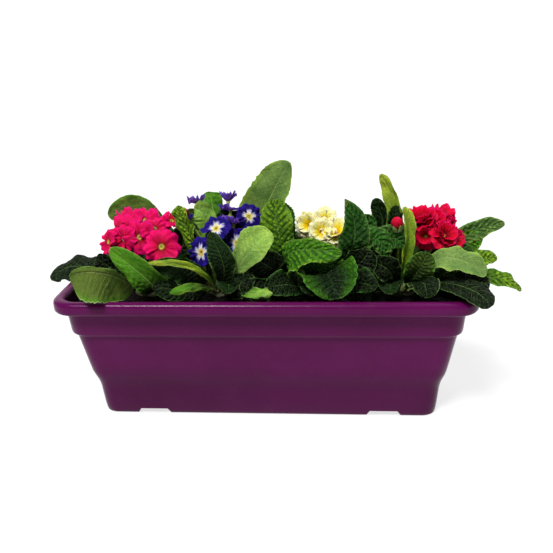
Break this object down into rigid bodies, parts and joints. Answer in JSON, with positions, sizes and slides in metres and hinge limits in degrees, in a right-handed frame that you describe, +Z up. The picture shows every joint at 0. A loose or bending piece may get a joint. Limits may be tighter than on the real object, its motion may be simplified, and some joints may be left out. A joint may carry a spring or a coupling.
{
  "type": "planted window box",
  "caption": "Rectangular plastic window box with a rolled rim, a stepped collar and a tapered body, planted with a row of primroses in leaf and flower.",
  "frame": {"origin": "middle of the underside of the box, on the surface that the box stands on", "axes": "+X along the box's length, to the right when seen from its front; +Z up; the front faces -Y"},
  "size_m": [0.5854, 0.2131, 0.3078],
  "materials": {
    "plum_plastic": "satin moulded plastic, plum purple",
    "compost": null,
    "crown": null,
    "pink_primrose_leaf": null,
    "blue_primrose_leaf": null,
    "yellow_primrose_leaf": null,
    "red_primrose_leaf": null,
    "pink_petal": "soft petal, magenta pink with a yellow eye",
    "blue_petal": "soft petal, deep blue with a white star and a yellow eye",
    "yellow_petal": "soft ruffled petal, cream with a bright yellow middle",
    "red_petal": "soft ruffled petal, crimson red"
  },
  "bodies": {
    "root": {"window_box": "plum_plastic", "compost": "compost", "pink_crown": "crown", "pink_leaf_1": "pink_primrose_leaf", "pink_leaf_2": "pink_primrose_leaf", "pink_leaf_3": "pink_primrose_leaf", "pink_leaf_4": "pink_primrose_leaf", "pink_leaf_5": "pink_primrose_leaf", "pink_leaf_6": "pink_primrose_leaf", "pink_flower_1": "pink_petal", "pink_flower_2": "pink_petal", "pink_flower_3": "pink_petal", "pink_flower_4": "pink_petal", "pink_flower_5": "pink_petal", "pink_bud_1": "pink_petal", "blue_crown": "crown", "blue_leaf_1": "blue_primrose_leaf", "blue_leaf_2": "blue_primrose_leaf", "blue_leaf_3": "blue_primrose_leaf", "blue_leaf_4": "blue_primrose_leaf", "blue_leaf_5": "blue_primrose_leaf", "blue_leaf_6": "blue_primrose_leaf", "blue_leaf_7": "blue_primrose_leaf", "blue_leaf_8": "blue_primrose_leaf", "blue_leaf_9": "blue_primrose_leaf", "blue_leaf_10": "blue_primrose_leaf", "blue_flower_1": "blue_petal", "blue_flower_2": "blue_petal", "blue_flower_3": "blue_petal", "blue_flower_4": "blue_petal", "blue_flower_5": "blue_petal", "blue_flower_6": "blue_petal", "blue_bud_1": "blue_petal", "yellow_crown": "crown", "yellow_leaf_1": "yellow_primrose_leaf", "yellow_leaf_2": "yellow_primrose_leaf", "yellow_leaf_3": "yellow_primrose_leaf", "yellow_leaf_4": "yellow_primrose_leaf", "yellow_leaf_5": "yellow_primrose_leaf", "yellow_leaf_6": "yellow_primrose_leaf", "yellow_leaf_7": "yellow_primrose_leaf", "yellow_leaf_8": "yellow_primrose_leaf", "yellow_flower_1": "yellow_petal", "yellow_flower_2": "yellow_petal", "red_crown": "crown", "red_leaf_1": "red_primrose_leaf", "red_leaf_2": "red_primrose_leaf", "red_leaf_3": "red_primrose_leaf", "red_leaf_4": "red_primrose_leaf", "red_leaf_5": "red_primrose_leaf", "red_leaf_6": "red_primrose_leaf", "red_leaf_7": "red_primrose_leaf", "red_leaf_8": "red_primrose_leaf", "red_leaf_9": "red_primrose_leaf", "red_leaf_10": "red_primrose_leaf", "red_leaf_11": "red_primrose_leaf", "red_flower_1": "red_petal", "red_flower_2": "red_petal", "red_flower_3": "red_petal", "red_bud_1": "red_petal"}
  },
  "joints": []
}
